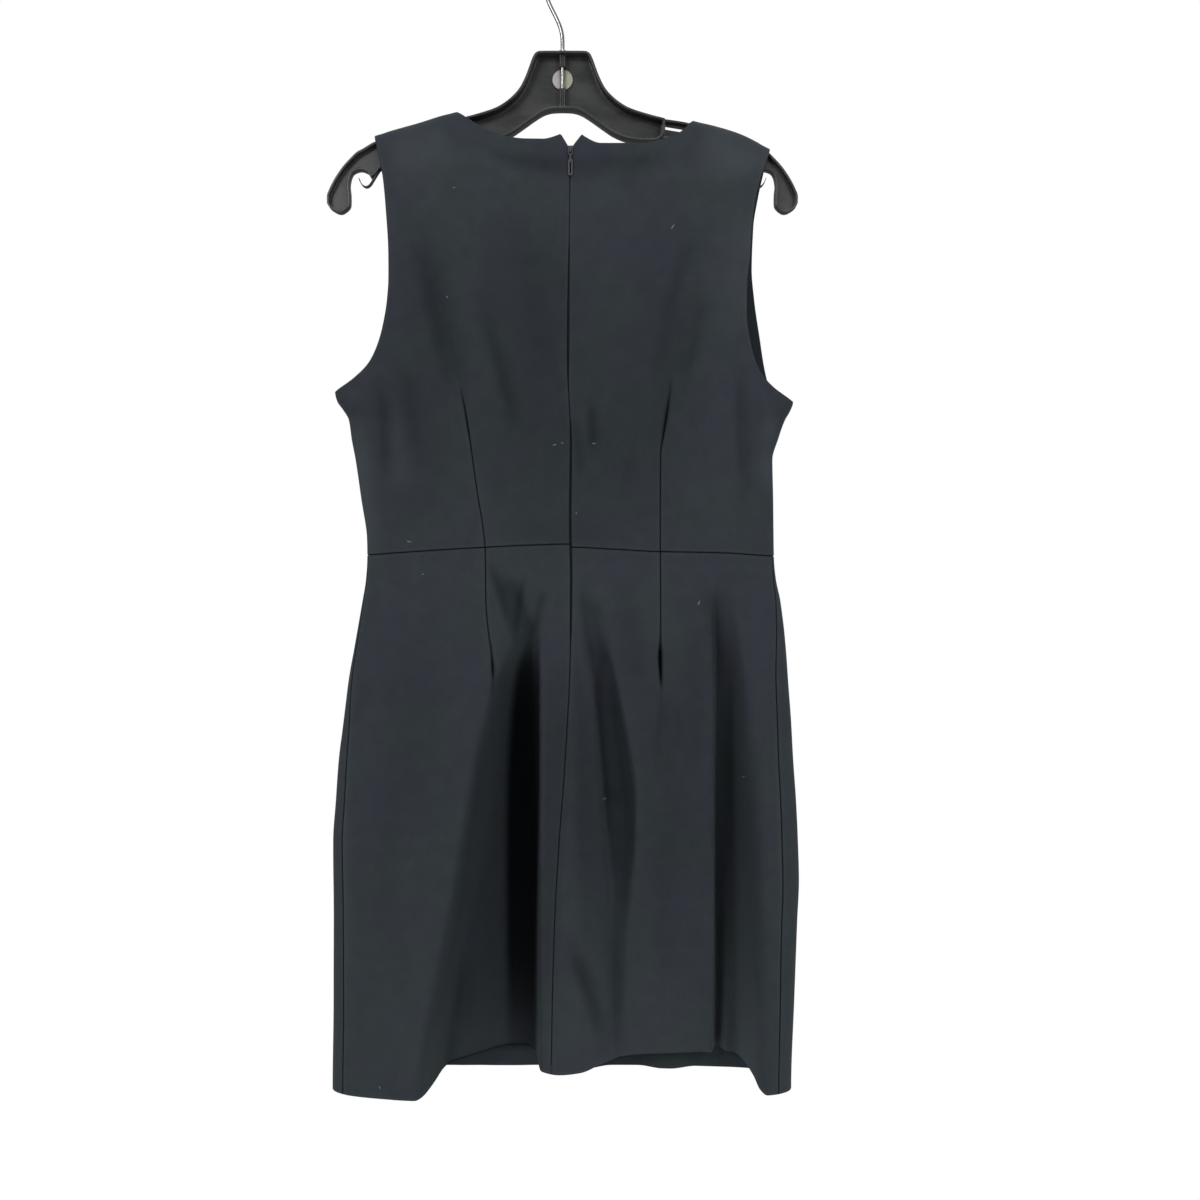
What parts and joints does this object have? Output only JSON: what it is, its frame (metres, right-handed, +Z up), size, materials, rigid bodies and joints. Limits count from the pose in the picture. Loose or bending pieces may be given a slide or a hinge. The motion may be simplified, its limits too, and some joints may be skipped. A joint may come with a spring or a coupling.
{
  "type": "sheath dress on clothes hanger",
  "caption": "Sleeveless knee-length sheath dress in thick black knit with a centre-back zip, hanging on a moulded clothes hanger with a wire hook.",
  "frame": {"origin": "inside of the hook's crown, where a rail carries the hanger", "axes": "+Z up, +X to the wearer's right (the right of the picture, which shows the back), +Y from the dress's back to its front"},
  "size_m": [0.4572, 0.1102, 1.0898],
  "materials": {
    "black_knit": "soft matte double knit with a faint sheen",
    "zip_tape": "woven tape",
    "zip_metal": "black lacquer, half gloss",
    "black_plastic": "moulded, glossy",
    "hanger_metal": "bright plated"
  },
  "bodies": {
    "dress": {"bodice_back_left": "black_knit", "bodice_back_right": "black_knit", "bodice_front": "black_knit", "skirt_back_left": "black_knit", "skirt_back_right": "black_knit", "skirt_front": "black_knit", "zip_tape": "zip_tape", "zip_slider": "zip_metal", "hanger_body": "black_plastic", "hanger_plate": "hanger_metal", "hanger_arm_left": "black_plastic", "hanger_arm_right": "black_plastic", "hook_wire": "hanger_metal", "hook_collar": "hanger_metal"},
    "pull_tab": {"zip_pull": "zip_metal"}
  },
  "joints": [
    {"name": "pull_tab_hinge", "type": "hinge", "parent": "dress", "child": "pull_tab", "pos_m": [0.008, -0.01611, -0.1865], "axis": [-1, 0, 0], "range_deg": [0, 160]}
  ]
}
